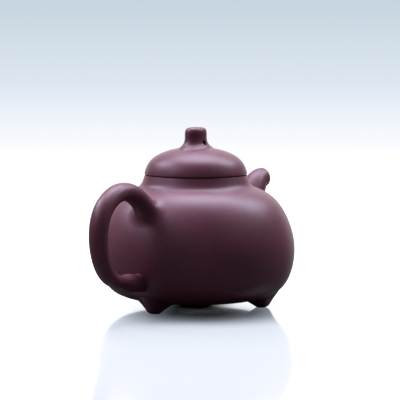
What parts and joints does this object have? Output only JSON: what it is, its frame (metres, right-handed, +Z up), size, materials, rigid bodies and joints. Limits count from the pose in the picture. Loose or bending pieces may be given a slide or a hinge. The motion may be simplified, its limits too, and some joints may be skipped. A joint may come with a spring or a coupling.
{
  "type": "teapot",
  "caption": "Round-bellied clay teapot on nub feet, with an ear handle, a short beak spout over an inner strainer, and a lift-off domed lid with a bridge knob.",
  "frame": {"origin": "on the pot's axis, on the table plane that the feet stand on", "axes": "+Z up along the pot's axis, +X towards the spout, so the handle is on -X"},
  "size_m": [0.1417, 0.0964, 0.0876],
  "materials": {
    "pot_clay": "satin unglazed purple-brown stoneware clay, burnished outside",
    "lid_clay": "satin unglazed purple-brown stoneware clay, burnished outside"
  },
  "bodies": {
    "pot": {"body_wall": "pot_clay", "base_disc": "pot_clay", "neck_collar": "pot_clay", "spout": "pot_clay", "strainer_dome": "pot_clay", "handle": "pot_clay", "foot_rear": "pot_clay", "foot_front_right": "pot_clay", "foot_front_left": "pot_clay"},
    "lid": {"lid_dome": "lid_clay", "lid_flange": "lid_clay", "bridge_knob": "lid_clay"}
  },
  "joints": [
    {"name": "lid_lift", "type": "slide", "parent": "pot", "child": "lid", "axis": [0, 0, 1], "range_m": [0, 0.06]}
  ]
}
